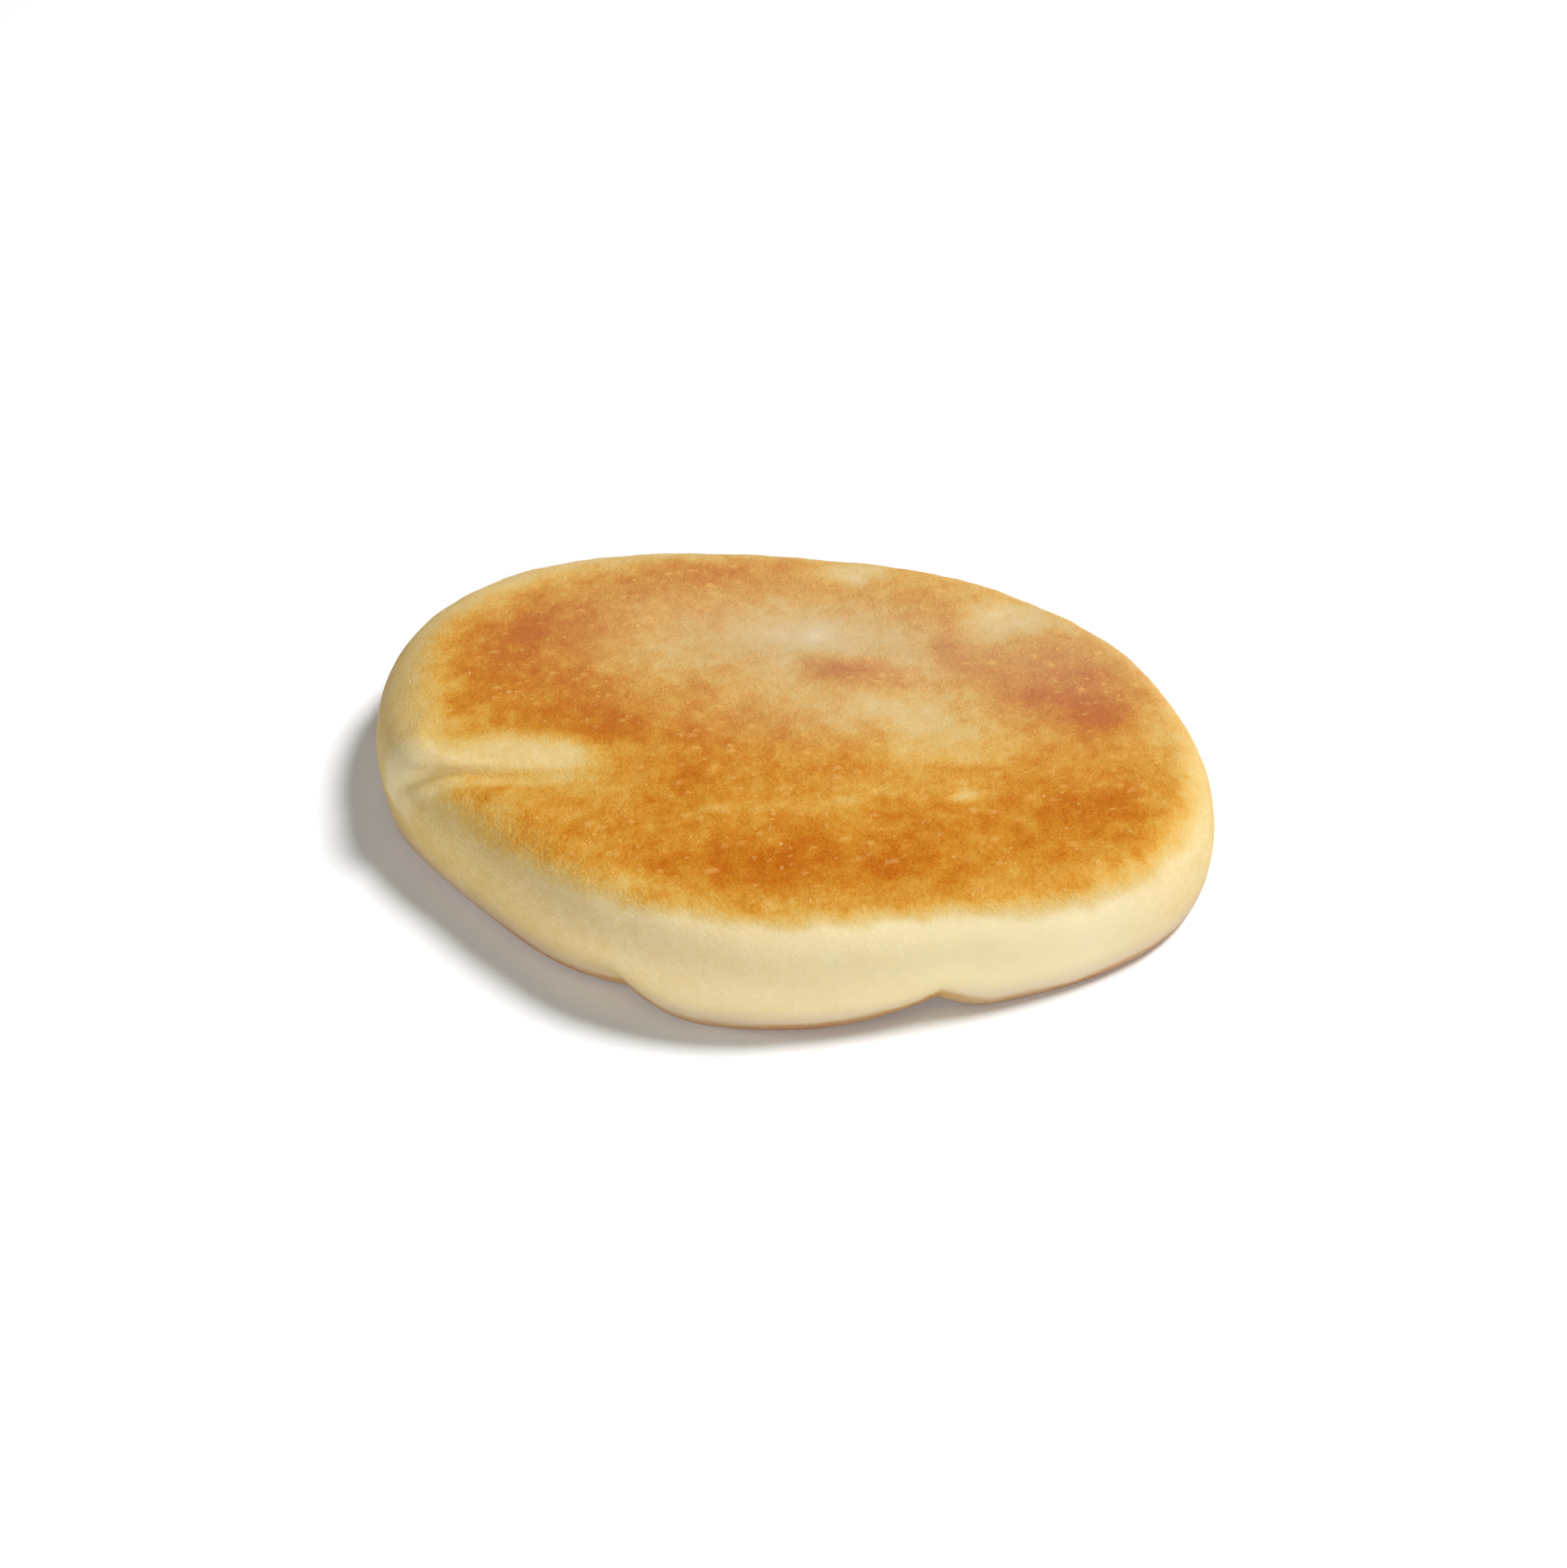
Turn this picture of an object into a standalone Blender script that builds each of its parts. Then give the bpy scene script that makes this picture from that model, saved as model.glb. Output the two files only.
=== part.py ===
"""A thick, pan-baked pita bread: one solid disc of dough, lying flat on its browned base.

Frame: +Z up, origin at the bottom centre of the bread's box, -Y towards the folded front.

The bread starts as a unit sphere, and every point of it is moved. A point's longitude is its
direction round the rim, and its latitude runs along one cross-section of the bread, from the
middle of the top over the side to the middle of the base. Dents, creases and folds are then
named places where that plain disc is pressed in.
"""

import math

import bmesh
import bpy
import numpy as np

MM = 0.001
NAME = "bread"

# Driving dimensions
MEAN_RADIUS = 69.3 * MM  # plan outline, measured at the belly
THICKNESS = 18.0 * MM  # from the base to where the top meets its shoulder
BELLY_HEIGHT = 7.8 * MM  # where the side stands out furthest
TOP_SHOULDER = 9.0 * MM  # how far in from the belly the flat of the top begins
BASE_SHOULDER = 2.7 * MM  # the same for the base
SHOULDER_SWAY = 0.25  # share by which both are wider on one side and tighter on the other
SWAY_DIRECTION = 165.0  # the wider side
CROWN = 0.8 * MM  # how much the top rises from its edge to its middle

# Slow waves of the outline: crests round the rim, height, direction of the first crest
LOBES = (
    (2, 5.8 * MM, -43.0),  # the oval, long from the back left to the front right
    (3, 1.9 * MM, 20.0),
    (4, 1.4 * MM, -31.0),
    (5, 0.9 * MM, -26.0),
    (6, 0.6 * MM, 18.0),
)

# Shallow dents in the top, which the pan didn't reach: x, y, half length, half width,
# direction of the length, depth
TOP_DENTS = (
    (5 * MM, 32 * MM, 22 * MM, 13 * MM, -8.0, 1.3 * MM),  # middle, towards the back
    (-21 * MM, 26 * MM, 13 * MM, 10 * MM, 20.0, 0.6 * MM),
    (27 * MM, 0 * MM, 14 * MM, 11 * MM, -20.0, 0.7 * MM),
    (9 * MM, 50 * MM, 9 * MM, 6 * MM, 80.0, 0.5 * MM),  # notch in the back rim
    (40 * MM, 35 * MM, 11 * MM, 6.5 * MM, 32.0, 0.6 * MM),  # notch, back right
)
ISLAND = (10 * MM, 16 * MM, 10 * MM, 5 * MM, -35.0, 0.7 * MM)  # bump in the middle dent

# The crease of the left, where a flap of dough laps over: its lip drops sharply into a hollow
CREASE_MOUTH = (-66 * MM, -17.8 * MM)
CREASE_DIRECTION = -1.0
CREASE_BEND = 6.8 * MM  # how far its line bends back at the mouth
CREASE_BEND_LENGTH = 5 * MM
CREASE_LENGTH = 40 * MM
CREASE_DEPTH = 1.8 * MM
CREASE_LIP = 0.7 * MM  # from the lip's crest to the bottom of the hollow
CREASE_SOFT_LIP = 3.5 * MM  # the same further in, where the lip has widened
CREASE_SOFTEN = (10 * MM, 32 * MM)  # where, along the line, it widens
CREASE_SLOPE = 6.0 * MM  # from the bottom forwards, up to the top
FLAP_DIRECTION = 190.0  # where the flap makes the top's shoulder tighter
FLAP_HALF_WIDTH = 8.0
FLAP_SHARE = 0.45

# Folds where the side was gathered under: direction, depth at the base, half width clockwise
# and anticlockwise, share of the side's height that the fold climbs, lean from base to top
FOLDS = (
    (-112.5, 2.8 * MM, 29 * MM, 15 * MM, 0.60, -4.0),
    (-69.5, 2.2 * MM, 22 * MM, 9 * MM, 0.85, 5.0),
    (38.0, 2.8 * MM, 11 * MM, 11 * MM, 0.65, 3.0),
    (128.0, 3.2 * MM, 13 * MM, 13 * MM, 0.70, -4.0),
)
FOLD_RUN = 16 * MM  # how far a fold goes in under the base
FOLD_LIFT = 2.0 * MM  # how high it lifts the base's edge

# Faces of the solid
AROUND = 144
ALONG = 38
TOP_SHARE, SHOULDER_SHARE, BASE_SHARE = 0.40, 0.62, 0.76  # ends of three stretches


def rise(value, low, high):
    """0 below low, 1 above high, and an S-shaped climb between them."""
    share = np.clip((value - low) / (high - low), 0, 1)
    return share * share * (3 - 2 * share)


def hill(value, width):
    """1 at zero, falling away to both sides like a bell."""
    return np.exp(-((value / width) ** 2))


def pinch(value, width):
    """1 in a sharp crest at zero, down to 0 at width on both sides."""
    return np.clip(1 - np.abs(value) / width, 0, 1) ** 2


def angle_from(angle, degrees):
    """How far angle is from a direction, between -pi and pi."""
    return (angle - math.radians(degrees) + math.pi) % (2 * math.pi) - math.pi


def plan_radius(angle):
    """Distance of the belly from the middle: the mean radius and the lobes' waves."""
    radius = np.full_like(angle, MEAN_RADIUS)
    for crests, height, direction in LOBES:
        radius += height * np.cos(crests * (angle - math.radians(direction)))
    return radius


def oval_dent(x, y, dent):
    """Depth at (x, y) of one long bell-shaped dent."""
    centre_x, centre_y, half_length, half_width, direction, depth = dent
    turn = math.radians(direction)
    along = (x - centre_x) * math.cos(turn) + (y - centre_y) * math.sin(turn)
    across = (y - centre_y) * math.cos(turn) - (x - centre_x) * math.sin(turn)
    return depth * hill(along, half_length) * hill(across, half_width)


def crease(x, y):
    """Depth of the left crease: a long slope down from the front, then steep up to the lip."""
    turn = math.radians(CREASE_DIRECTION)
    x, y = x - CREASE_MOUTH[0], y - CREASE_MOUTH[1]
    along = x * math.cos(turn) + y * math.sin(turn)
    across = y * math.cos(turn) - x * math.sin(turn)
    across -= CREASE_BEND * np.exp(-np.maximum(along, 0) / CREASE_BEND_LENGTH)
    lip = CREASE_LIP + (CREASE_SOFT_LIP - CREASE_LIP) * rise(along, *CREASE_SOFTEN)
    width = np.where(across < -lip, CREASE_SLOPE, lip)
    fade = 1 - rise(along, 0.45 * CREASE_LENGTH, CREASE_LENGTH)
    return CREASE_DEPTH * fade * hill(across + lip, width)


def bread_points(angle, share):
    """Points of the surface, for a direction and a share of the way from top to base."""
    top = np.clip(share / TOP_SHARE, 0, 1)
    over = np.clip((share - TOP_SHARE) / (SHOULDER_SHARE - TOP_SHARE), 0, 1) * math.pi / 2
    under = np.clip((share - SHOULDER_SHARE) / (BASE_SHARE - SHOULDER_SHARE), 0, 1) * math.pi / 2
    base = 1 - np.clip((share - BASE_SHARE) / (1 - BASE_SHARE), 0, 1)

    inset = TOP_SHOULDER * (1 - np.sin(over)) + BASE_SHOULDER * (1 - np.cos(under))
    sway = 1 + SHOULDER_SWAY * np.cos(angle_from(angle, SWAY_DIRECTION))
    flap = 1 - FLAP_SHARE * hill(angle_from(angle, FLAP_DIRECTION), math.radians(FLAP_HALF_WIDTH))
    edge = plan_radius(angle) - inset * sway * flap
    height = BELLY_HEIGHT + (THICKNESS - BELLY_HEIGHT) * np.cos(over)
    height -= BELLY_HEIGHT * np.sin(under)
    height += CROWN * (1 - top**2) ** 2
    climbed = height / THICKNESS

    lift = np.zeros_like(height)
    for direction, depth, clockwise, anticlockwise, climb, lean in FOLDS:
        across = (angle_from(angle, direction) - math.radians(lean) * climbed) * MEAN_RADIUS
        line = pinch(across, np.where(across < 0, clockwise, anticlockwise))
        edge -= depth * line * (1 - rise(climbed, 0.1, climb))
        lift += FOLD_LIFT * line

    radius = edge * top * base
    lift *= rise(radius, MEAN_RADIUS - FOLD_RUN, MEAN_RADIUS) * (1 - rise(climbed, 0, 0.4))
    height += lift

    x, y = radius * np.cos(angle), radius * np.sin(angle)
    pressed = crease(x, y) - oval_dent(x, y, ISLAND)
    for dent in TOP_DENTS:
        pressed += oval_dent(x, y, dent)
    height -= pressed * rise(np.cos(over), 0.15, 0.9)
    return np.stack([x, y, height], axis=-1)


def make_bread():
    """The sphere whose points are moved onto the bread, standing on z = 0 over the origin."""
    shape = bmesh.new()
    bmesh.ops.create_uvsphere(shape, u_segments=AROUND, v_segments=ALONG, radius=1)
    sphere = np.array([vert.co for vert in shape.verts])
    angle = np.arctan2(sphere[:, 1], sphere[:, 0])
    share = np.arccos(np.clip(sphere[:, 2], -1, 1)) / math.pi
    points = bread_points(angle, share)
    low, high = points.min(axis=0), points.max(axis=0)
    points -= ((low[0] + high[0]) / 2, (low[1] + high[1]) / 2, low[2])
    for vert, point in zip(shape.verts, points):
        vert.co = point
    mesh = bpy.data.meshes.new(NAME)
    shape.to_mesh(mesh)
    shape.free()
    mesh.shade_smooth()
    return bpy.data.objects.new(NAME, mesh)


def crust_material():
    """Golden brown crust: the plain colour of the whole loaf."""
    material = bpy.data.materials.new("baked_dough")
    material.use_nodes = True
    shader = material.node_tree.nodes["Principled BSDF"]
    shader.inputs["Base Color"].default_value = (0.72, 0.42, 0.14, 1)
    shader.inputs["Roughness"].default_value = 0.62
    shader.inputs["Metallic"].default_value = 0.0
    return material


def main():
    for obj in list(bpy.data.objects):
        bpy.data.objects.remove(obj)
    collection = bpy.data.collections.new("pita_bread")
    bpy.context.scene.collection.children.link(collection)
    bread = make_bread()
    bread.data.materials.append(crust_material())
    collection.objects.link(bread)


main()
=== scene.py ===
# A thick pan-baked pita bread, lying on a pale table in soft studio light.
# The loaf is one surface of two parameters: a direction round the rim, and a share of the way
# from the middle of the top, over the side, to the middle of the base. Lengths are in millimetres
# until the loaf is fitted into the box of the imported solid, which is in metres.

import math
import bmesh
import bpy
import numpy as np
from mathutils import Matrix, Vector


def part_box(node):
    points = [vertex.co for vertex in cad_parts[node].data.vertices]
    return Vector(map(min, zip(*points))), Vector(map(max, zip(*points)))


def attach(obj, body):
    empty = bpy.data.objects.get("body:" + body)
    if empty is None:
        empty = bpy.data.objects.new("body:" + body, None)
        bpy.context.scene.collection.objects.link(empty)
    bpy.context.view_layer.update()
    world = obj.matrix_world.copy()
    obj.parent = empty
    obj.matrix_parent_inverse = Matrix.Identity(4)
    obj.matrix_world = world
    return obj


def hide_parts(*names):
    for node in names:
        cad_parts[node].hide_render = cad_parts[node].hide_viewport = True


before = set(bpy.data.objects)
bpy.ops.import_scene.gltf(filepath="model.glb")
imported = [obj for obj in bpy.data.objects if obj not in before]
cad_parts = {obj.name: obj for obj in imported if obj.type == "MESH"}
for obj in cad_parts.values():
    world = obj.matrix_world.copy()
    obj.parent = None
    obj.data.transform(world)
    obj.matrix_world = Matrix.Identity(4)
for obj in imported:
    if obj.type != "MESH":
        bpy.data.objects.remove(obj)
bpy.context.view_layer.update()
millimetre = 0.001
print("frame loaded")

# The loaf's form. An angle is in degrees, anticlockwise from the loaf's right seen from above.
loaf = {
    "meanRadius": 69.3,
    "thickness": 18.0,
    "bellyHeight": 7.8,  # where the side stands out furthest
    "topShoulder": 9.0,  # how far in from the belly the flat of the top begins
    "baseShoulder": 2.7,
    "shoulderSway": 0.25,  # share by which both are wider on one side and tighter on the other
    "swayDirection": 165,
    "crown": 0.8,  # how much the top rises from its edge to its middle
    "lobes": [  # slow waves of the outline: crests round the rim, height, direction of a crest
        (2, 5.8, -43),  # the oval, long from the back left to the front right
        (3, 1.9, 20),
        (4, 1.4, -31),
        (5, 0.9, -26),
        (6, 0.6, 18),
    ],
    "dents": [  # x, y, half length, half width, direction, depth
        (5, 32, 22, 13, -8, 1.3),
        (-21, 26, 13, 10, 20, 0.6),
        (27, 0, 14, 11, -20, 0.7),
        (9, 50, 9, 6, 80, 0.5),  # notch in the back rim
        (40, 35, 11, 6.5, 32, 0.6),  # notch, back right
        (10, 16, 10, 5, -35, -0.7),  # an island that stands up in the middle dent
    ],
    "pressedOver": (0.15, 0.9),  # cosines of the shoulder's turn between which the dents fade out
    "topCells": 208,  # the top's square net, cells a side
    "sideRows": 38,
    "overShare": 0.62,  # share of the side's rows above the belly
    "baseRows": 16,
    "baseWidening": 1.5,  # how the base's rows widen inwards
    "weld": 0.001,  # points nearer than this are one
}

# The crease of the left, where a flap of dough laps over: its lip drops sharply into a hollow
# that lies before it.
crease = {
    "mouth": (-66, -17.8),
    "direction": -1,
    "bend": 6.8,  # how far the line bends back at its mouth
    "bendLength": 5,
    "length": 40,
    "depth": 1.8,
    "lip": 0.7,  # from the crest of the lip to the bottom of the hollow
    "soften": (10, 32),  # where, along the line, the lip widens
    "softLip": 3.5,
    "slope": 6.0,  # from the bottom forwards, up to the top
    "fadeShare": 0.45,  # share of the length after which the depth fades
    "flap": (190, 8, 0.45),  # direction and half width where the shoulder is tighter, and its share
}

# Folds where the side was gathered under.
folds = {
    # direction, depth at the base, half width clockwise and anticlockwise, share of the height that
    # the fold climbs, lean from base to top
    "places": [
        (-112.5, 2.8, 29, 15, 0.60, -4),
        (-69.5, 2.2, 22, 9, 0.85, 5),
        (38, 2.8, 11, 11, 0.65, 3),
        (128, 3.2, 13, 13, 0.70, -4),
    ],
    "fullBelow": 0.1,  # share of the height below which a fold has its full depth
    "run": 16,  # how far a fold goes in under the base
    "lift": 2.0,  # how high it lifts the base's edge
    "liftReach": 0.4,  # share of the height where the lifting ends
}


def sCurve(value, low, high):
    # 3 t^2 - 2 t^3, where t is how far value has gone from low to high, held between 0 and 1
    share = np.clip((value - low) / (high - low), 0, 1)
    return share * share * (3 - 2 * share)


def bell(value, width):
    # e to the power -(value / width)^2
    return np.exp(-((value / width) ** 2))


def angleFrom(angle, degrees):
    # the angle less the direction, brought between -pi and pi
    return (angle - math.radians(degrees) + math.pi) % (2 * math.pi) - math.pi


def turned(x, y, centreX, centreY, degrees):
    # x and y counted from the centre, along a direction and across it
    turn = math.radians(degrees)
    along = (x - centreX) * math.cos(turn) + (y - centreY) * math.sin(turn)
    across = (y - centreY) * math.cos(turn) - (x - centreX) * math.sin(turn)
    return along, across


def ovalHill(x, y, oval):
    # height * bell(along / half length) * bell(across / half width)
    centreX, centreY, halfLength, halfWidth, direction, height = oval
    along, across = turned(x, y, centreX, centreY, direction)
    return height * bell(along, halfLength) * bell(across, halfWidth)


def creasePlace(x, y):
    # along the crease's line and across it; the line bends back by
    # bend * e to the power -along / bend length
    along, across = turned(x, y, *crease["mouth"], crease["direction"])
    return along, across - crease["bend"] * np.exp(-np.maximum(along, 0) / crease["bendLength"])


def creaseDepth(x, y):
    # depth * bell(across + lip), narrow on the lip's side and wide before it, fading inwards
    along, across = creasePlace(x, y)
    lip = crease["lip"] + (crease["softLip"] - crease["lip"]) * sCurve(along, *crease["soften"])
    width = np.where(across < -lip, crease["slope"], lip)
    fade = 1 - sCurve(along, crease["fadeShare"] * crease["length"], crease["length"])
    return crease["depth"] * fade * bell(across + lip, width)


def outlineRadius(angle):
    # mean radius + the sum of height * cos(crests * (angle - direction)) over the lobes
    waves = 0
    for crests, height, way in loaf["lobes"]:
        waves = waves + height * np.cos(crests * (angle - math.radians(way)))
    return loaf["meanRadius"] + waves


def shoulderWidth(width, angle):
    # width * (1 + sway * cos(angle - sway way)) * (1 - flap share * bell(angle - flap way))
    way, halfWidth, share = crease["flap"]
    flap = 1 - share * bell(angleFrom(angle, way), math.radians(halfWidth))
    sway = 1 + loaf["shoulderSway"] * np.cos(angleFrom(angle, loaf["swayDirection"]))
    return width * sway * flap


def foldLines(angle, climbed):
    # of each fold its depth, its climb and (1 - distance from its line / half width)^2, held at 0
    for direction, depth, clockwise, anticlockwise, climb, lean in folds["places"]:
        across = (angleFrom(angle, direction) - math.radians(lean) * climbed) * loaf["meanRadius"]
        halfWidth = np.where(across < 0, clockwise, anticlockwise)
        yield depth, climb, np.clip(1 - np.abs(across) / halfWidth, 0, 1) ** 2


def loafPoints(angle, top, over, under, base):
    # top and base run from 0 at the middle to 1 at the flat's edge, and over and under are the two
    # quarter turns of the side, in radians:
    # radius = (outline - top shoulder * (1 - sin over) - base shoulder * (1 - cos under)) * top * base
    # height = belly + (thickness - belly) * cos over - belly * sin under + crown * (1 - top^2)^2
    # A fold takes depth * line off the radius low on the side, and lifts the base's edge. The dents
    # and the crease are taken off the height of the top.
    inset = loaf["topShoulder"] * (1 - np.sin(over)) + loaf["baseShoulder"] * (1 - np.cos(under))
    edge = outlineRadius(angle) - shoulderWidth(inset, angle)
    height = loaf["bellyHeight"] + (loaf["thickness"] - loaf["bellyHeight"]) * np.cos(over)
    height = height - loaf["bellyHeight"] * np.sin(under) + loaf["crown"] * (1 - top**2) ** 2
    climbed = height / loaf["thickness"]

    lift = 0
    for depth, climb, line in foldLines(angle, climbed):
        edge = edge - depth * line * (1 - sCurve(climbed, folds["fullBelow"], climb))
        lift = lift + folds["lift"] * line
    radius = edge * top * base
    lift = lift * sCurve(radius, loaf["meanRadius"] - folds["run"], loaf["meanRadius"])
    height = height + lift * (1 - sCurve(climbed, 0, folds["liftReach"]))

    x, y = radius * np.cos(angle), radius * np.sin(angle)
    pressed = creaseDepth(x, y) + sum(ovalHill(x, y, dent) for dent in loaf["dents"])
    height = height - pressed * sCurve(np.cos(over), *loaf["pressedOver"])
    return np.stack([x, y, height], axis=-1)


def topNet():
    # a square net wrapped onto the disc: the share of the way out is the larger of |a| and |b|, and
    # the direction is 45 degrees times the smaller over the larger, counted from the nearest axis
    steps = np.linspace(-1, 1, loaf["topCells"] + 1)
    a, b = np.meshgrid(steps, steps)
    out = np.maximum(np.abs(a), np.abs(b))
    safe = np.maximum(out, 1e-9)
    beside = np.where(np.abs(a) >= np.abs(b), b * np.sign(a), -a * np.sign(b)) / safe
    nearest = np.where(np.abs(a) >= np.abs(b), np.where(a < 0, math.pi, 0), np.sign(b) * math.pi / 2)
    return loafPoints(nearest + beside * math.pi / 4, out, 0 * out, 0 * out, 1 + 0 * out)


def sideNet():
    # over runs from 0 to a quarter turn down to the belly, and under does so from there to the base
    across = 4 * loaf["topCells"]
    overRows = round(loaf["sideRows"] * loaf["overShare"])
    underRows = loaf["sideRows"] - overRows
    over = np.concatenate([np.linspace(0, 1, overRows + 1), np.ones(underRows)])
    under = np.concatenate([np.zeros(overRows), np.linspace(0, 1, underRows + 1)])
    angle, over = np.meshgrid(np.arange(across + 1) * 2 * math.pi / across, over * math.pi / 2)
    under = np.broadcast_to(under[:, None] * math.pi / 2, over.shape)
    return loafPoints(angle, 1 + 0 * over, over, under, 1 + 0 * over)


def baseNet():
    # share = 1 - row^widening, which runs from 1 at the base's edge to 0 in its middle
    across = 4 * loaf["topCells"]
    share = 1 - np.linspace(0, 1, loaf["baseRows"] + 1) ** loaf["baseWidening"]
    angle, share = np.meshgrid(np.arange(across + 1) * 2 * math.pi / across, share)
    quarter = np.full(share.shape, math.pi / 2)
    return loafPoints(angle, 1 + 0 * share, quarter, quarter, share)


def netFaces(rows, columns, first):
    # each cell's four corners, going round it, in a net whose points are counted row by row
    corner = first + np.arange(rows - 1)[:, None] * columns + np.arange(columns - 1)
    faces = np.stack([corner, corner + 1, corner + columns + 1, corner + columns], axis=-1)
    return faces.reshape(-1, 4)


def joinedNets(name, nets):
    # one closed mesh of several nets, whose touching points become one
    points = np.concatenate([net.reshape(-1, 3) for net in nets])
    faces = []
    first = 0
    for net in nets:
        faces.append(netFaces(net.shape[0], net.shape[1], first))
        first += net.shape[0] * net.shape[1]
    mesh = bpy.data.meshes.new(name)
    mesh.from_pydata(points.tolist(), [], np.concatenate(faces).tolist())
    shape = bmesh.new()
    shape.from_mesh(mesh)
    bmesh.ops.remove_doubles(shape, verts=shape.verts, dist=loaf["weld"])
    bmesh.ops.recalc_face_normals(shape, faces=shape.faces)
    shape.to_mesh(mesh)
    shape.free()
    return mesh


def meshPoints(mesh):
    # the mesh's points, a row each
    points = np.empty(len(mesh.vertices) * 3)
    mesh.vertices.foreach_get("co", points)
    return points.reshape(-1, 3)


def meshNormals(mesh):
    # the mesh's normals at its points, a row each
    normals = np.empty(len(mesh.vertices) * 3)
    mesh.vertex_normals.foreach_get("vector", normals)
    return normals.reshape(-1, 3)


# The look of the crust. Tone runs from 0, pale dough, over 0.5, golden, to 1, dark brown. A patch is
# x, y, half length, half width, direction, and how much it adds to the tone.
crust = {
    "marginTones": [  # direction, and the tone of the side there: partly the dough's own golden colour, partly painted shade where it is raised to darken the right and the left front
        (-145, 0.18), (-110, 0.09), (-80, 0.05), (-50, 0.01), (-25, 0.15), (0, 0.36), (60, 0.34),
        (110, 0.24), (150, 0.23), (180, 0.22),
    ],
    "topTone": 0.78,
    "edges": [  # direction, how far in from the belly the browning starts there, how softly it fades
        (-150, 3.0, 5), (-138, 2.4, 5), (-122, 5.2, 4), (-104, 6.2, 3.5), (-80, 5.6, 3), (-50, 2.2, 4.5),
        (-32, 3.0, 5), (-18, 4.5, 6), (-8, 7.5, 7), (5, 4.8, 7), (20, 4.5, 6), (38, 6.5, 5), (60, 6.5, 4),
        (90, 8.0, 3), (112, 10.0, 4), (127, 14.0, 5), (141, 13.0, 5), (152, 8.6, 5), (170, 10.0, 8),
        (185, 9.0, 8), (200, 5.0, 7),
    ],
    "patches": [
        # browner
        (-44, 28, 14, 8, 80, 0.18),  # back left
        (-40, 8, 13, 6, -15, 0.12),
        (-24, -7, 15, 4, -22, 0.22),
        (-14, 53, 11, 5, 0, 0.16),  # back rim
        (11, 12.5, 10.5, 6, -25, 0.64),  # the island
        (27, 25, 10, 4, -65, 0.30),
        (49, 1, 12, 7, -30, 0.32),  # right
        (51, -33, 9, 8, 60, 0.19),
        (2, -49, 22, 6, -4, 0.19),  # front
        (-20, -20, 12, 6, -10, 0.08),
        # paler: hollows that the pan didn't reach
        (4, 23, 27, 22, -30, -0.50),  # middle
        (6, 31, 16, 8, -2, -0.18),
        (-22, 22, 9, 9, 20, -0.20),
        (22, -2, 18, 12, -35, -0.42),
        (12, 54, 7, 6, 80, -0.56),  # notch of the back rim
        (40, 34, 12, 8, 27, -0.55),
        (57, 21, 6, 5, 0, -0.12),
        (60, -8, 6, 12, 0, -0.12),
        (-53, -7, 7, 5, 0, -0.12),
        (-40, -30, 9, 6, -40, -0.18),  # before the crease
        (-34, -23, 9, 5, -13, -0.20),
        (20, -16, 16, 5, 9, -0.12),
        (12, -26, 14, 4, 1, -0.10),
        (3, -33, 7, 4, 0, -0.26),
        (28, -29, 3, 2, 0, -0.40),
        (26, -26, 7, 4, 0, -0.12),
        (40, -50, 9, 4, 25, -0.12),
        (-21, -54, 8, 4, -10, -0.18),
        (-11, -33, 3, 2, 80, -0.25),
    ],
    "patchesReach": (-2, 3),  # way inside the browning's edge over which patches and mottle set in
    "marginPale": (-3, 6),  # heights between which the side's tone rises to its own, paler low down
    "edgeWander": (6, 71, 1.6),  # size, seed and height of the edge's unevenness
    "patchWander": (9, (51, 61), 1.4),  # the same for the patches, with a seed for x and one for y
    "climbShare": 0.7,  # share of the tone's rise at the edge; the rest rises over climbReach
    "climbReach": 12,
    "topAbove": (8.8, 15),  # heights between which the side's tone turns into the top's
    "palest": 0.15,  # the least tone of the top inside its edge
    "mottle": [(11, 81, 0.06), (5, 82, 0.11), (2.4, 83, 0.09), (1.3, 84, 0.06)],  # size, seed, height
    "mottleLeast": 0.35,  # share of the mottle left on pale dough
    "mottleTones": (0.2, 0.5),  # tones between which the whole mottle sets in
    "depthStretch": 0.7,  # places are squeezed by this from front to back, so the mottle is drawn out
    # the base's tone, held below a browned crust's so that, with the painted shade blended in low down,
    # its band round the foot shows pale dough in painted shade
    "baseTone": 0.5,
    "baseMottle": [(26, 101, 0.16), (5, 111, 0.08)],
    "baseBand": 1.7,  # how high the base's browning and its painted shade show round the foot of the side
    "baseBandWander": (9, 121, 0.5),
    "baseBandSoft": 0.4,
}

# The look of the crease: a pale band behind the lip, kept paler at its mouth as painted light, a
# half-pale strip before it, and a dark line of painted shade along the lip. Places are counted along the
# crease's line from its mouth, and across it.
creaseLook = {
    "tones": (0.06, 0.19),  # of the pale unbrowned band at the mouth, kept paler there as painted light over the shaded mouth, and further in
    "toneAlong": (2, 16),
    "strip": (-6, -3.5),  # where the strip sets in, across
    "stripShare": 0.65,
    "lip": (-1.4, 0.2),  # where the whole band sets in, across
    "far": (5.0, 9.6),  # the band's far edge at the mouth, and further in
    "farAlong": (10, 18),
    "taper": 5,  # how far the far edge comes back at the inner end
    "taperAlong": (28, 40),
    "farSoft": 4.0,
    "endAlong": (30, 42),
    "line": (-0.8, 0.9, 0.06),  # the lip's dark line, painted shade on the lip's wall: across, half width, height in tone
    "paintedShadeFrom": (3, 8),
    "paintedShadeTo": (14, 32),
}

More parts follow.
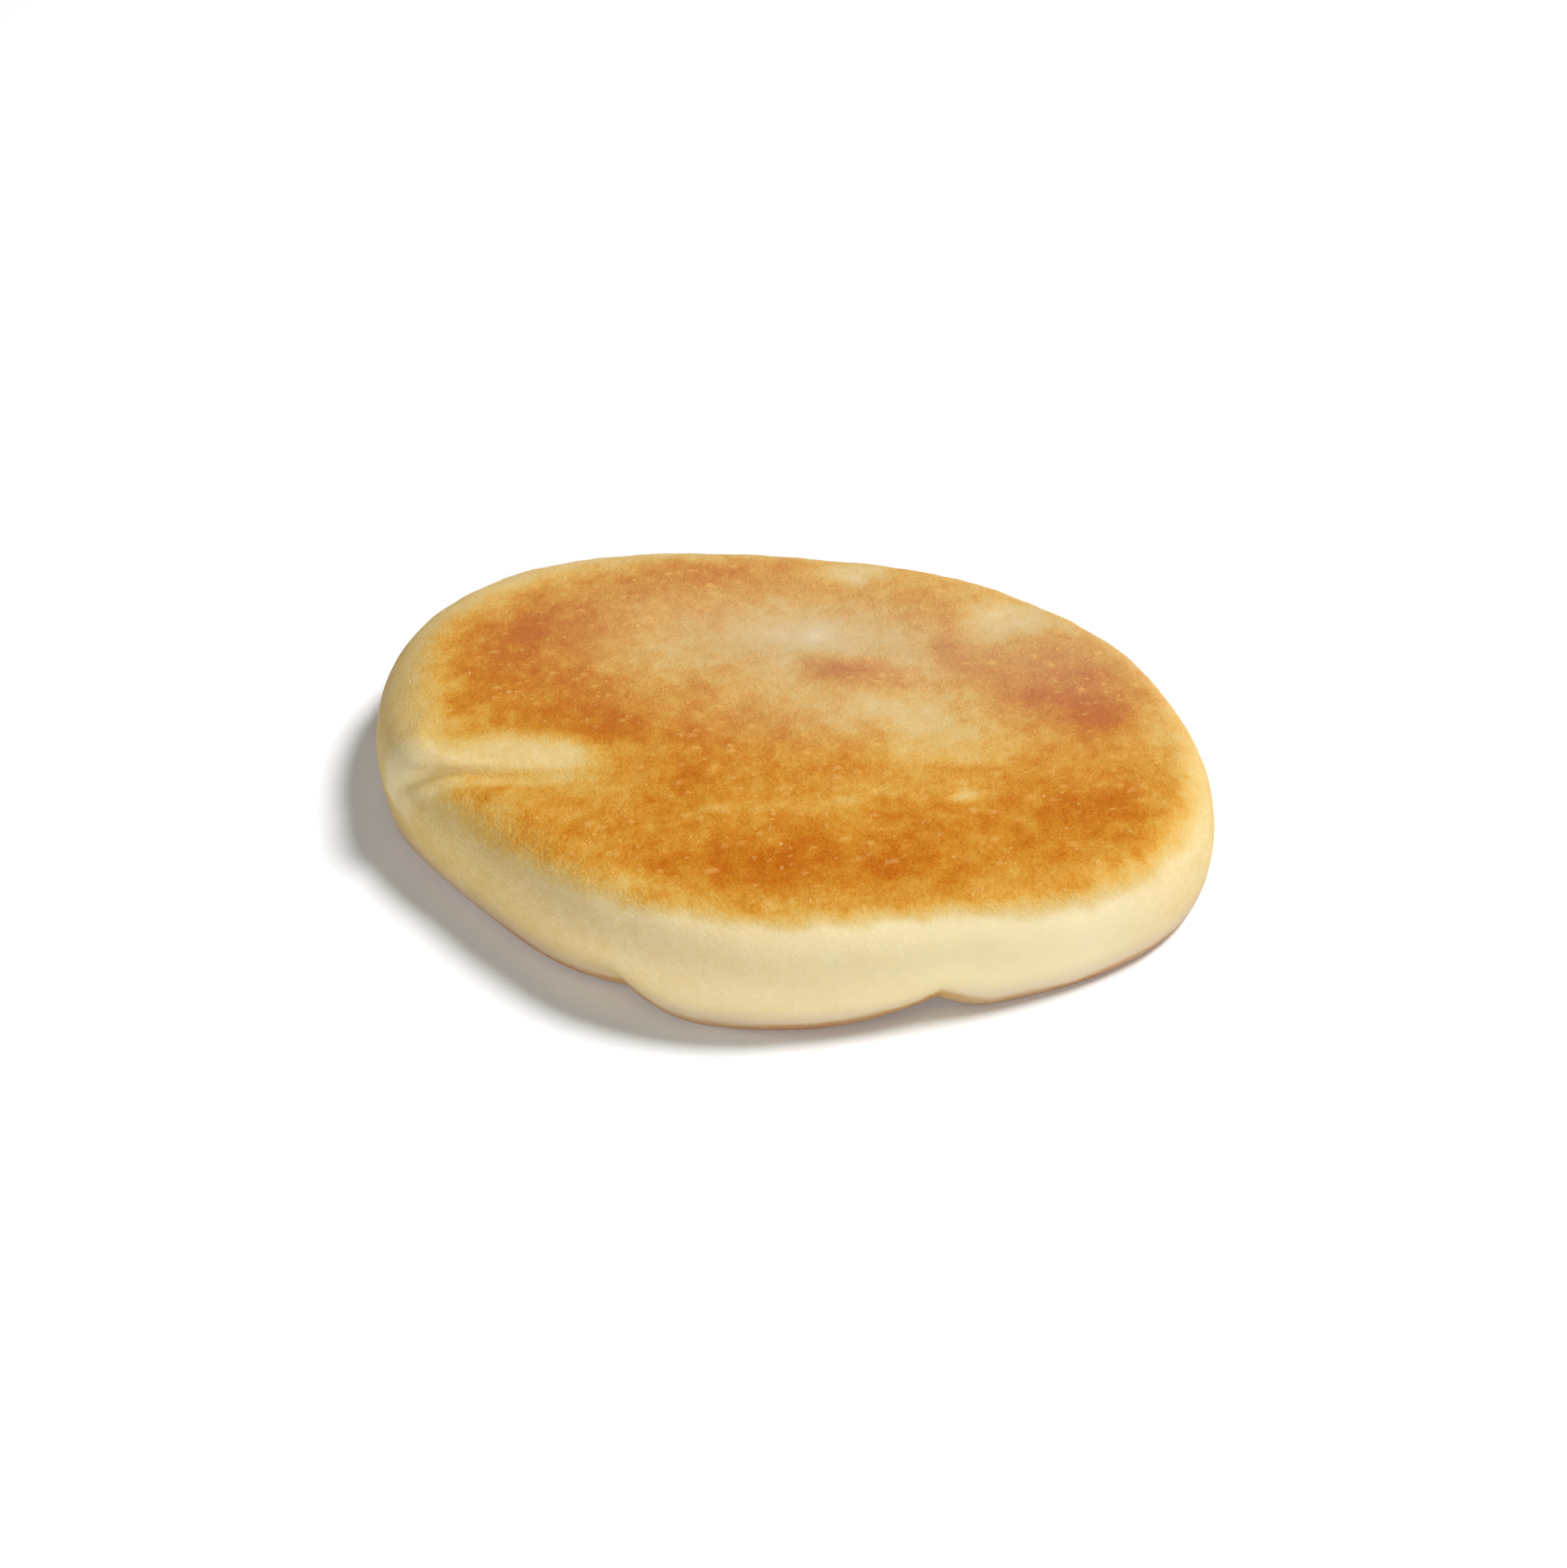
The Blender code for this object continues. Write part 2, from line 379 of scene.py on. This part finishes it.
# Painted sheen and shade: a faint milky veil on the middle and the back of the top that stands in for the
# sheen of grazing light, duller and darker towards the back as painted shade, and a dark blend low on the
# side and base as painted shade round the foot.
paintedSheenAndShade = {
    "patches": [
        (8, 26, 50, 28, -15, 0.32),
        (10, -4, 22, 8, 0, 0.08),
        (0, 62, 40, 8, -6, 0.08),
        (52, 20, 14, 24, 10, 0.10),
    ],
    "topAbove": (7, 12),  # heights between which the top's painted sheen sets in
    "base": 0.5,
    "baseBelow": (1, 6),  # heights between which the painted shade low on the side and base fades out
    "most": 0.8,
}

# Small pale blisters, at most one to a square cell of the top, and a few large ones, listed.
blister = {
    "cell": 2.8,
    "chance": 0.40,
    "radius": (0.25, 0.9),
    "stretch": (0.75, 1.25),  # x counts times this and y divided by it, which makes them oval
    "crowdSize": 14,  # size of the areas where they are more or fewer
    "seeds": {"x": 41, "y": 42, "radius": 43, "chance": 44, "stretch": 45, "crowd": 46},
    "height": 0.14,
    "large": [  # x, y, radius
        (-24.5, -56.6, 1.0),
        (-18.8, -61.3, 0.8),
        (22, -29.5, 1.0),
        (-11, -33, 0.9),
        (-31, -37, 0.9),
    ],
}

# The crust's fine waves, as size, seed and height.
relief = {
    "topWaves": [(11, 131, 0.20), (5, 132, 0.12), (2.4, 133, 0.09)],
    "sideWaves": [(16, 141, 0.30), (6, 142, 0.08), (2.5, 143, 0.03)],
    "topFacing": (0.45, 0.9),  # upward part of the normal between which the top's waves take over
    "footReach": 3,  # height below which the waves fade, so that the base lies flat
    "blisterTones": (0.25, 0.6),  # tones between which the blisters set in
}

# The random lattice: large primes that mix a cell's indices, and the length of the random table.
lattice = {
    "primes": (73856093, 19349663, 83492791),
    "length": 4096,
}


def latticeValue(cells, seed):
    # a number from 0 to 1 for each whole-number cell: its indices times the primes, brought
    # together by exclusive or, give the place in a seeded table
    table = np.random.default_rng(seed).random(lattice["length"])
    mixed = 0
    for axis in range(cells.shape[-1]):
        mixed = mixed ^ cells[..., axis] * lattice["primes"][axis]
    return table[mixed % lattice["length"]]


def softNoise(points, size, seed):
    # random values on the corners of cubes of that size, blended by s-curves of the place in the cube
    scaled = points / size
    cell = np.floor(scaled).astype(np.int64)
    share = scaled - cell
    share = share * share * (3 - 2 * share)
    total = 0
    for corner in np.ndindex(2, 2, 2):
        weight = np.prod(np.where(np.array(corner) == 1, share, 1 - share), axis=-1)
        total = total + weight * latticeValue(cell + np.array(corner), seed)
    return total * 2 - 1


def layeredNoise(points, size, seed, layers=3):
    # noises added up, each with half the size and half the height of the one before
    return sum(softNoise(points, size / 2**layer, seed + layer) / 2**layer for layer in range(layers))


def summedNoise(points, rows):
    # the sum of height * noise over rows of size, seed and height
    return sum(height * softNoise(points, size, seed) for size, seed, height in rows)


def ringValue(rows, column, angle):
    # one column of the rows, joined by straight lines round the rim, from direction to direction
    ways = [row[0] for row in rows]
    return np.interp(np.degrees(angle), ways, [row[column] for row in rows], period=360)


def blisterField(x, y):
    # the highest of square root of 1 - (distance / radius)^2 over the blisters near a point
    best = np.zeros_like(x)
    home = np.floor(np.stack([x, y], axis=-1) / blister["cell"]).astype(np.int64)
    smallest, largest = blister["radius"]
    narrow, wide = blister["stretch"]
    seeds = blister["seeds"]
    for step in np.ndindex(3, 3):
        cell = home + np.array(step) - 1
        centreX = (cell[:, 0] + latticeValue(cell, seeds["x"])) * blister["cell"]
        centreY = (cell[:, 1] + latticeValue(cell, seeds["y"])) * blister["cell"]
        centre = np.stack([centreX, centreY, 0 * centreX], axis=-1)
        crowd = 1 + softNoise(centre, blister["crowdSize"], seeds["crowd"])
        radius = smallest + (largest - smallest) * latticeValue(cell, seeds["radius"]) ** 2
        radius = radius * (latticeValue(cell, seeds["chance"]) < blister["chance"] * crowd)
        stretch = narrow + (wide - narrow) * latticeValue(cell, seeds["stretch"])
        apart = np.hypot((x - centreX) * stretch, (y - centreY) / stretch)
        best = np.maximum(best, np.sqrt(np.clip(1 - (apart / np.maximum(radius, 1e-6)) ** 2, 0, 1)))
    for centreX, centreY, radius in blister["large"]:
        apart = np.hypot(x - centreX, y - centreY)
        best = np.maximum(best, np.sqrt(np.clip(1 - (apart / radius) ** 2, 0, 1)))
    return best


def surfaceWay(inset, angle):
    # roughly how far a place lies from the belly over the shoulder: its inset + its rise, where
    # rise = (thickness - belly) * square root of 1 - (1 - inset / shoulder)^2
    left = np.clip(1 - inset / shoulderWidth(loaf["topShoulder"], angle), 0, 1)
    return inset + (loaf["thickness"] - loaf["bellyHeight"]) * np.sqrt(1 - left**2)


def wayInside(points, angle):
    # the place's surface way - the surface way of the browning's edge there + noise
    size, seed, height = crust["edgeWander"]
    inset = outlineRadius(angle) - np.hypot(points[:, 0], points[:, 1])
    inside = surfaceWay(inset, angle) - surfaceWay(ringValue(crust["edges"], 1, angle), angle)
    return inside + height * layeredNoise(points, size, seed)


def topTone(points, angle, margin, wander):
    # margin + (the top's tone - margin) * climb + patches, no paler than the palest, + mottle; down
    # the side it turns back into the margin's
    x, y, z = points.T
    inside = wayInside(points, angle)
    fade = ringValue(crust["edges"], 2, angle)
    share = crust["climbShare"]
    climb = share * sCurve(inside, -fade, fade) + (1 - share) * sCurve(inside, 0, crust["climbReach"])
    within = sCurve(inside, *crust["patchesReach"])
    placeX, placeY = x + wander[:, 0], y + wander[:, 1]
    patched = sum(ovalHill(placeX, placeY, patch) for patch in crust["patches"]) * within
    tone = margin + (crust["topTone"] - margin) * climb + patched
    tone = np.maximum(tone, margin + (crust["palest"] - margin) * climb)
    least = crust["mottleLeast"]
    mottle = summedNoise(points * (1, crust["depthStretch"], 1), crust["mottle"]) * within
    tone = tone + mottle * (least + (1 - least) * sCurve(tone, *crust["mottleTones"]))
    return margin + (tone - margin) * sCurve(z, *crust["topAbove"])


def creasedTone(tone, x, y, wander):
    # tone + (the band's tone - tone) * band + the lip's dark line of painted shade, where the band is 0
    # before the strip, its share on the strip and 1 from the lip to the far edge
    look = creaseLook
    along, across = creasePlace(x, y)
    mouthFar, innerFar = look["far"]
    far = mouthFar + (innerFar - mouthFar) * sCurve(along, *look["farAlong"])
    far = far - look["taper"] * sCurve(along, *look["taperAlong"]) + wander
    band = look["stripShare"] * sCurve(across, *look["strip"])
    band = band + (1 - look["stripShare"]) * sCurve(across, *look["lip"])
    band = band * (1 - sCurve(across, far - look["farSoft"], far + look["farSoft"]))
    band = band * (1 - sCurve(along, *look["endAlong"]))
    mouthTone, innerTone = look["tones"]
    bandTone = mouthTone + (innerTone - mouthTone) * sCurve(along, *look["toneAlong"])
    # the lip's dark line is painted shade
    place, halfWidth, height = look["line"]
    line = height * bell(across - place, halfWidth)
    line = line * sCurve(along, *look["paintedShadeFrom"]) * (1 - sCurve(along, *look["paintedShadeTo"]))
    return tone + (bandTone - tone) * band + line


def baseTone(points, angle, margin):
    # the base's tone + noise up to the foot, and the margin's above it, where
    # foot = band + noise + how far the folds lift the base's edge
    under = crust["baseTone"]
    for size, seed, height in crust["baseMottle"]:
        under = under + height * layeredNoise(points, size, seed)
    size, seed, height = crust["baseBandWander"]
    foot = crust["baseBand"] + height * layeredNoise(points, size, seed)
    foot = foot + folds["lift"] * sum(line for depth, climb, line in foldLines(angle, 0))
    soft = crust["baseBandSoft"]
    return margin + (under - margin) * (1 - sCurve(points[:, 2], foot - soft, foot + soft))


def crustTone(points):
    # above the belly the top's tone with the crease's, and below it the base's; the margin between
    # them has its tone round the rim * an s-curve of the height
    x, y, z = points.T
    angle = np.arctan2(y, x)
    margin = ringValue(crust["marginTones"], 1, angle) * sCurve(z, *crust["marginPale"])
    size, seeds, height = crust["patchWander"]
    wander = height * np.stack([layeredNoise(points, size, seed) for seed in seeds], axis=-1)
    top = creasedTone(topTone(points, angle, margin, wander), x, y, wander[:, 0])
    return np.where(z > loaf["bellyHeight"], top, baseTone(points, angle, margin))


def paintedSheenAndShadeShare(points):
    # the painted sheen's hills on the top + the painted shade's share low down on the side and base, held
    # below the most
    x, y, z = points.T
    top = sum(ovalHill(x, y, patch) for patch in paintedSheenAndShade["patches"]) * sCurve(z, *paintedSheenAndShade["topAbove"])
    base = paintedSheenAndShade["base"] * (1 - sCurve(z, *paintedSheenAndShade["baseBelow"]))
    return np.clip(top + base, 0, paintedSheenAndShade["most"])


def reliefHeight(points, normals, domes):
    # the top's waves or the side's, by how far up the surface faces, + the blisters' domes
    facing = sCurve(normals[:, 2], *relief["topFacing"])
    top, side = (summedNoise(points, relief[name]) for name in ("topWaves", "sideWaves"))
    foot = sCurve(points[:, 2], 0, relief["footReach"])
    return (facing * top + (1 - facing) * side) * foot + blister["height"] * domes


def blisterDomes(points, normals, tone):
    # the blister field, only where the surface faces up and is browned
    facing = sCurve(normals[:, 2], *relief["topFacing"])
    return blisterField(points[:, 0], points[:, 1]) * facing * sCurve(tone, *relief["blisterTones"])


def setAttribute(mesh, name, values):
    # one number for each point, which the crust's finish reads
    mesh.attributes.new(name, "FLOAT", "POINT").data.foreach_set("value", values.astype(np.float32))


def fitToBox(points, low, high):
    # low + (point - lowest) / (highest - lowest) * (high - low): stretched by a hair each way, so
    # that the finished loaf fills the solid's box exactly
    lowest, highest = points.min(axis=0), points.max(axis=0)
    share = (points - lowest) / (highest - lowest)
    return np.array(low) + share * (np.array(high) - np.array(low))


def makeLoaf():
    # the three nets welded, each point moved by its relief along its normal, fitted to the box
    mesh = joinedNets("pitaLoaf", [topNet(), sideNet(), baseNet()])
    points, normals = meshPoints(mesh), meshNormals(mesh)
    tone = crustTone(points)
    domes = blisterDomes(points, normals, tone)
    setAttribute(mesh, "tone", tone)
    setAttribute(mesh, "blister", domes)
    # the share of painted sheen and painted shade at each point
    setAttribute(mesh, "paintedSheenAndShade", paintedSheenAndShadeShare(points))
    points = points + normals * reliefHeight(points, normals, domes)[:, None]
    points = fitToBox(points, *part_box("bread"))
    mesh.vertices.foreach_set("co", points.ravel())
    mesh.update()
    mesh.shade_smooth()
    obj = bpy.data.objects.new("pitaLoaf", mesh)
    bpy.context.scene.collection.objects.link(obj)
    print("loaf shaped:", len(mesh.vertices), "points", len(mesh.polygons), "faces")
    return obj


# The crust's finish: tone to colour, then the painted sheen and shade, the flecks and the blisters. Sizes
# are in millimetres.
crustFinish = {
    "colours": [  # place on the ramp, colour
        (0, (0.83, 0.72, 0.45)),
        (0.114, (0.73, 0.565, 0.275)),
        (0.2, (0.691, 0.495, 0.19)),
        (0.333, (0.677, 0.434, 0.122)),
        (0.467, (0.664, 0.367, 0.072)),
        (0.6, (0.618, 0.296, 0.04)),
        (0.733, (0.575, 0.23, 0.02)),
        (0.867, (0.52, 0.169, 0.01)),
        (1, (0.473, 0.125, 0.006)),
    ],
    "rampReach": 1.05,  # the tone at the ramp's end
    "brownedGain": 2.2,  # the tone times this, held at 1, is how much of the fine noises shows
    "mottle": (3.0, 6, 0.68, 0.68),  # size, detail, roughness, height in tone
    "grain": (0.6, 4, 0.75, 0.62),
    "depthStretch": 0.7,  # places are squeezed by this from front to back, which draws the grain out
    # colour of the painted sheen and painted shade
    "paintedSheenShadeColour": (0.43, 0.31, 0.29),
    "blisterColour": (0.80, 0.45, 0.13),
    "blisterShare": 0.42,
    "roughness": 0.55,
    "specular": 0.03,
    "subsurface": 0.12,
    "subsurfaceColour": (1.0, 0.5, 0.2),  # how far red, green and blue go in, as shares of the reach
    "subsurfaceReach": 4,
}

# Tiny pale flecks of the browned crust, one to a cell and close together in clusters.
fleck = {
    "cell": 1.4,
    "reach": 0.34,  # how far the largest reaches, as a share of its cell
    "core": 0.4,  # share of that reach where it is whole
    "smallest": 0.05,
    "wobble": 0.6,  # how far its edge is shifted by a fine noise
    "wobbleSize": 0.6,
    "clusters": (5, 2),  # size and detail of the noise that gathers them
    "clustered": (0.46, 0.62),  # its values between which they set in
    "share": 0.7,  # how much of the pale colour they take
}

# The crust's roughness to the touch.
grainBump = {
    "strength": 0.8,
    "distance": 0.3,
    "noises": [(1.1, 4), (0.4, 2)],  # size, detail
    "paleShare": 0.2,  # share of it on pale dough
    "fleckHeight": 0.5,
}


def newMaterial(name):
    # a material, its node tree and its shader
    material = bpy.data.materials.new(name)
    material.use_nodes = True
    tree = material.node_tree
    return material, tree, tree.nodes["Principled BSDF"]


def fill(tree, socket, value):
    # a number or a colour is set on the socket, and another node's output is linked to it
    if isinstance(value, (int, float, tuple)):
        socket.default_value = value
    else:
        tree.links.new(value, socket)


def attributeValue(tree, name):
    # a number of the mesh's points
    node = tree.nodes.new("ShaderNodeAttribute")
    node.attribute_name = name
    return node.outputs["Fac"]


def calculated(tree, operation, first, second, clamp=False):
    # two values added, subtracted, multiplied or divided, or the larger of them
    node = tree.nodes.new("ShaderNodeMath")
    node.operation = operation
    node.use_clamp = clamp
    fill(tree, node.inputs[0], first)
    fill(tree, node.inputs[1], second)
    return node.outputs[0]


def noiseNode(tree, where, size, detail, roughness=0.5):
    # a noise whose largest grains are of that size
    node = tree.nodes.new("ShaderNodeTexNoise")
    node.inputs["Scale"].default_value = 1 / (size * millimetre)
    node.inputs["Detail"].default_value = detail
    node.inputs["Roughness"].default_value = roughness
    tree.links.new(where, node.inputs["Vector"])
    return node


def smoothStep(tree, value, low, high):
    # the same s-curve as sCurve
    node = tree.nodes.new("ShaderNodeMapRange")
    node.interpolation_type = "SMOOTHSTEP"
    tree.links.new(value, node.inputs["Value"])
    node.inputs["From Min"].default_value = low
    node.inputs["From Max"].default_value = high
    return node.outputs["Result"]


def blend(tree, share, first, second):
    # first * (1 - share) + second * share, of a colour and a fixed colour
    node = tree.nodes.new("ShaderNodeMix")
    node.data_type = "RGBA"
    firstSocket, secondSocket = [socket for socket in node.inputs if socket.type == "RGBA"]
    fill(tree, firstSocket, first)
    fill(tree, secondSocket, (*second, 1))
    tree.links.new(share, node.inputs["Factor"])
    return [socket for socket in node.outputs if socket.type == "RGBA"][0]


def squeezedPlaces(tree, place):
    # the object's own places, squeezed from front to back
    node = tree.nodes.new("ShaderNodeMapping")
    node.inputs["Scale"].default_value = (1, crustFinish["depthStretch"], 1)
    tree.links.new(place, node.inputs["Vector"])
    return node.outputs["Vector"]


def fleckField(tree, place, squeezed, browned):
    # 1 near the middle of a cell, 0 past its reach * the cell's random size, only in the clusters
    # and on browned crust; the places are first shifted by 2 * wobble * a fine noise
    shifted = tree.nodes.new("ShaderNodeVectorMath")
    shifted.operation = "MULTIPLY_ADD"
    shifted.inputs[1].default_value = [2 * fleck["wobble"] * millimetre] * 3
    fineNoise = noiseNode(tree, squeezed, fleck["wobbleSize"], 2)
    tree.links.new(fineNoise.outputs["Color"], shifted.inputs[0])
    tree.links.new(squeezed, shifted.inputs[2])
    cells = tree.nodes.new("ShaderNodeTexVoronoi")
    cells.inputs["Scale"].default_value = 1 / (fleck["cell"] * millimetre)
    tree.links.new(shifted.outputs["Vector"], cells.inputs["Vector"])
    random = tree.nodes.new("ShaderNodeSeparateColor")
    tree.links.new(cells.outputs["Color"], random.inputs["Color"])
    size = calculated(tree, "ADD", random.outputs["Red"], fleck["smallest"])
    far = calculated(tree, "DIVIDE", cells.outputs["Distance"], size)
    outside = smoothStep(tree, far, fleck["core"] * fleck["reach"], fleck["reach"])
    near = calculated(tree, "SUBTRACT", 1, outside)
    clusters = noiseNode(tree, place, *fleck["clusters"]).outputs["Fac"]
    gathered = calculated(tree, "MULTIPLY", near, smoothStep(tree, clusters, *fleck["clustered"]))
    return calculated(tree, "MULTIPLY", gathered, browned)


def toneColour(tree, tone):
    # the colour of the ramp at tone / reach
    ramp = tree.nodes.new("ShaderNodeValToRGB")
    tree.links.new(calculated(tree, "DIVIDE", tone, crustFinish["rampReach"]), ramp.inputs["Fac"])
    stops = ramp.color_ramp.elements
    for count, (at, colour) in enumerate(crustFinish["colours"]):
        stop = stops[count] if count < 2 else stops.new(1)
        stop.position = at
        stop.color = (*colour, 1)
    return ramp.outputs["Color"]


def crustBump(tree, place, browned, flecks):
    # (sum of the noises) * (pale share + (1 - pale share) * browned) + fleck height * flecks
    first, second = (noiseNode(tree, place, *noise).outputs["Fac"] for noise in grainBump["noises"])
    shown = calculated(tree, "MULTIPLY", browned, 1 - grainBump["paleShare"])
    shown = calculated(tree, "ADD", shown, grainBump["paleShare"])
    rough = calculated(tree, "MULTIPLY", calculated(tree, "ADD", first, second), shown)
    raised = calculated(tree, "MULTIPLY", flecks, grainBump["fleckHeight"])
    bump = tree.nodes.new("ShaderNodeBump")
    bump.inputs["Strength"].default_value = grainBump["strength"]
    bump.inputs["Distance"].default_value = grainBump["distance"] * millimetre
    tree.links.new(calculated(tree, "ADD", rough, raised), bump.inputs["Height"])
    return bump.outputs["Normal"]


def crustMaterial():
    # colour = the ramp's at tone + browned * the noises, blended with the colour of the painted sheen and
    # shade, and then with the blisters' by the larger of the flecks' share and the domes' share
    finish = crustFinish
    material, tree, shader = newMaterial("bakedCrust")
    place = tree.nodes.new("ShaderNodeTexCoord").outputs["Object"]
    squeezed = squeezedPlaces(tree, place)
    tone = attributeValue(tree, "tone")
    browned = calculated(tree, "MULTIPLY", tone, finish["brownedGain"], clamp=True)
    for size, detail, roughness, height in (finish["mottle"], finish["grain"]):
        noise = noiseNode(tree, squeezed, size, detail, roughness).outputs["Fac"]
        uneven = calculated(tree, "MULTIPLY", calculated(tree, "SUBTRACT", noise, 0.5), height)
        tone = calculated(tree, "ADD", tone, calculated(tree, "MULTIPLY", uneven, browned))

    flecks = fleckField(tree, place, squeezed, browned)
    fleckShare = calculated(tree, "MULTIPLY", flecks, fleck["share"])
    blisterShare = calculated(tree, "MULTIPLY", attributeValue(tree, "blister"), finish["blisterShare"])
    paleShare = calculated(tree, "MAXIMUM", fleckShare, blisterShare)
    # blend in the painted sheen and painted shade
    colour = blend(tree, attributeValue(tree, "paintedSheenAndShade"), toneColour(tree, tone), finish["paintedSheenShadeColour"])
    colour = blend(tree, paleShare, colour, finish["blisterColour"])
    tree.links.new(colour, shader.inputs["Base Color"])
    tree.links.new(crustBump(tree, place, browned, flecks), shader.inputs["Normal"])
    shader.inputs["Roughness"].default_value = finish["roughness"]
    shader.inputs["Specular IOR Level"].default_value = finish["specular"]
    shader.inputs["Subsurface Weight"].default_value = finish["subsurface"]
    shader.inputs["Subsurface Radius"].default_value = finish["subsurfaceColour"]
    shader.inputs["Subsurface Scale"].default_value = finish["subsurfaceReach"] * millimetre
    print("crust finished")
    return material


pitaLoaf = makeLoaf()
pitaLoaf.data.materials.append(crustMaterial())
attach(pitaLoaf, "root")
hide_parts("bread")

# The studio, in metres: a pale table, a big soft lamp high on the right and a little behind, a faint
# one behind for the rim, low ones in front and on the left that lift the shadows, and a faint even
# sky. Directions are azimuth and elevation, the azimuth counted like the loaf's angles.
studio = {
    "tableColour": (0.94, 0.945, 0.955),
    "tableRoughness": 0.9,
    "tableHalf": 4.0,
    "sky": 0.012,
    "lamps": [  # name, azimuth, elevation, distance, size, power
        ("keyLamp", 28, 54, 2.0, 0.8, 48.0),
        ("backLamp", 105, 35, 2.0, 0.6, 1.2),
        ("frontLamp", -88, 20, 2.0, 0.5, 19.5),
        ("leftLamp", 180, 19, 2.0, 0.5, 6.5),
    ],
}
camera = {
    "azimuth": -90,
    "elevation": 30,
    "distance": 560,  # millimetres from what it aims at
    "aim": (-0.38, -5.7, 8.0),  # millimetres from the loaf's middle
    "lens": 77.2,
    "sensor": 36,
    "clip": (0.01, 20),
}


def direction(azimuth, elevation):
    # cos azimuth * cos elevation, sin azimuth * cos elevation, sin elevation
    a, e = math.radians(azimuth), math.radians(elevation)
    return np.array([math.cos(a) * math.cos(e), math.sin(a) * math.cos(e), math.sin(e)])


def aimed(obj, place, target):
    # the object's -Z axis turned along target - place
    obj.location = place
    obj.rotation_euler = (Vector(target) - Vector(place)).to_track_quat("-Z", "Y").to_euler()


def addLamp(name, azimuth, elevation, distance, size, power):
    # a round soft lamp at distance * direction, aimed at the origin
    lamp = bpy.data.lights.new(name, "AREA")
    lamp.shape = "DISK"
    lamp.size = size
    lamp.energy = power
    obj = bpy.data.objects.new(name, lamp)
    bpy.context.scene.collection.objects.link(obj)
    aimed(obj, distance * direction(azimuth, elevation), (0, 0, 0))


def addTable():
    # a square round the origin, at the height of the loaf's base
    half = studio["tableHalf"]
    corners = [(-half, -half, 0), (half, -half, 0), (half, half, 0), (-half, half, 0)]
    mesh = bpy.data.meshes.new("table")
    mesh.from_pydata(corners, [], [(0, 1, 2, 3)])
    obj = bpy.data.objects.new("tableFloor", mesh)
    bpy.context.scene.collection.objects.link(obj)
    material, tree, shader = newMaterial("paleTable")
    shader.inputs["Base Color"].default_value = (*studio["tableColour"], 1)
    shader.inputs["Roughness"].default_value = studio["tableRoughness"]
    shader.inputs["Specular IOR Level"].default_value = 0.0
    mesh.materials.append(material)


def addSky():
    # the same white light from every side
    world = bpy.data.worlds.new("paleSky")
    world.use_nodes = True
    background = world.node_tree.nodes["Background"]
    background.inputs["Color"].default_value = (1, 1, 1, 1)
    background.inputs["Strength"].default_value = studio["sky"]
    bpy.context.scene.world = world


def addCamera():
    # at aim + distance * direction, looking at the aim
    data = bpy.data.cameras.new("camera")
    data.lens = camera["lens"]
    data.sensor_width = camera["sensor"]
    data.clip_start, data.clip_end = camera["clip"]
    obj = bpy.data.objects.new("camera", data)
    bpy.context.scene.collection.objects.link(obj)
    aim = np.array(camera["aim"]) * millimetre
    away = direction(camera["azimuth"], camera["elevation"]) * camera["distance"] * millimetre
    aimed(obj, aim + away, aim)
    bpy.context.scene.camera = obj


addTable()
addSky()
for lampValues in studio["lamps"]:
    addLamp(*lampValues)
addCamera()
bpy.context.scene.view_settings.view_transform = "Standard"
print("studio lit")
